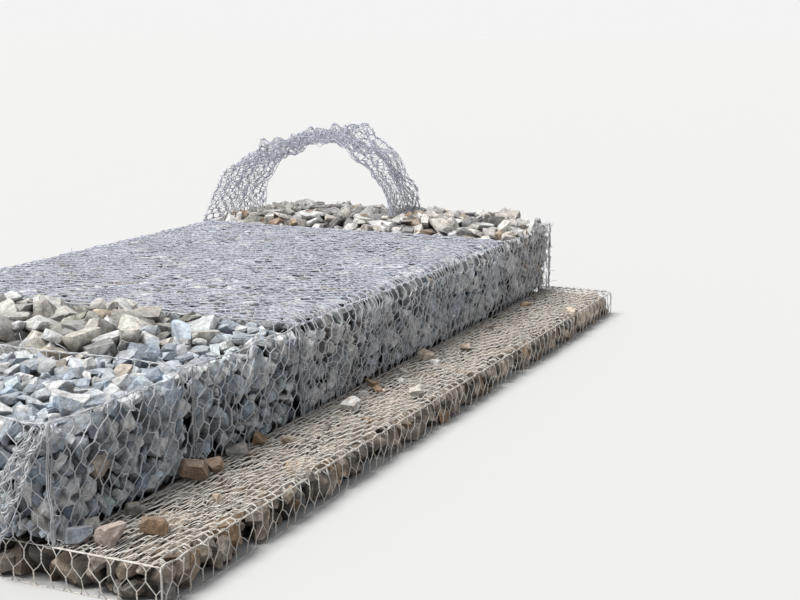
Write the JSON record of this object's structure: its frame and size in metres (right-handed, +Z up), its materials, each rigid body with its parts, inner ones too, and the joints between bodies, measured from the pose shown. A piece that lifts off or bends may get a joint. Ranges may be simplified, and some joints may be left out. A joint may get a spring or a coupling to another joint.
{
  "type": "gabion wall",
  "caption": "Low gabion wall of stone-filled netting bays, two open, three lidded and one heaped with its lid thrown back, on a mattress apron",
  "frame": {"origin": "centre of the underside of the apron, on the ground it lies on", "axes": "X along the wall, from the open bays towards the heaped bay; -Y out of the wall's face, over the apron's toe; +Z up"},
  "size_m": [6, 3, 1.37],
  "materials": {
    "wall_stone": "rough crushed rock, blue-grey with some pale, dusty and tan stones",
    "apron_stone": "rough crushed rock, dusty and stained by soil",
    "mesh_wire": "grey plastic-coated galvanized wire, dusty, slightly glossy",
    "selvedge_wire": "thicker grey plastic-coated wire, dusty"
  },
  "bodies": {
    "root": {"apron_basket_1": "mesh_wire", "apron_basket_2": "mesh_wire", "apron_basket_3": "mesh_wire", "apron_lid_net_1": "mesh_wire", "apron_lid_net_2": "mesh_wire", "apron_lid_net_3": "mesh_wire", "apron_stone_fill_1": "apron_stone", "apron_stone_fill_2": "apron_stone", "apron_stone_fill_3": "apron_stone", "back_net_bay_1": "mesh_wire", "back_net_bay_2": "mesh_wire", "back_net_bay_3": "mesh_wire", "back_net_bay_4": "mesh_wire", "back_net_bay_5": "mesh_wire", "back_net_bay_6": "mesh_wire", "corner_lacing_1": "selvedge_wire", "corner_lacing_2": "selvedge_wire", "corner_lacing_3": "selvedge_wire", "corner_lacing_4": "selvedge_wire", "corner_lacing_5": "selvedge_wire", "corner_lacing_6": "selvedge_wire", "corner_lacing_7": "selvedge_wire", "end_net_far": "mesh_wire", "end_net_near": "mesh_wire", "front_net_bay_1": "mesh_wire", "front_net_bay_2": "mesh_wire", "front_net_bay_3": "mesh_wire", "front_net_bay_4": "mesh_wire", "front_net_bay_5": "mesh_wire", "front_net_bay_6": "mesh_wire", "lid_net_bay_3": "mesh_wire", "lid_net_bay_4": "mesh_wire", "lid_net_bay_5": "mesh_wire", "lid_net_bay_6": "mesh_wire", "partition_net_1": "mesh_wire", "partition_net_2": "mesh_wire", "partition_net_3": "mesh_wire", "partition_net_4": "mesh_wire", "partition_net_5": "mesh_wire", "stone_fill_bay_1": "wall_stone", "stone_fill_bay_2": "wall_stone", "stone_fill_bay_3": "wall_stone", "stone_fill_bay_4": "wall_stone", "stone_fill_bay_5": "wall_stone", "stone_fill_bay_6": "wall_stone"}
  },
  "joints": []
}
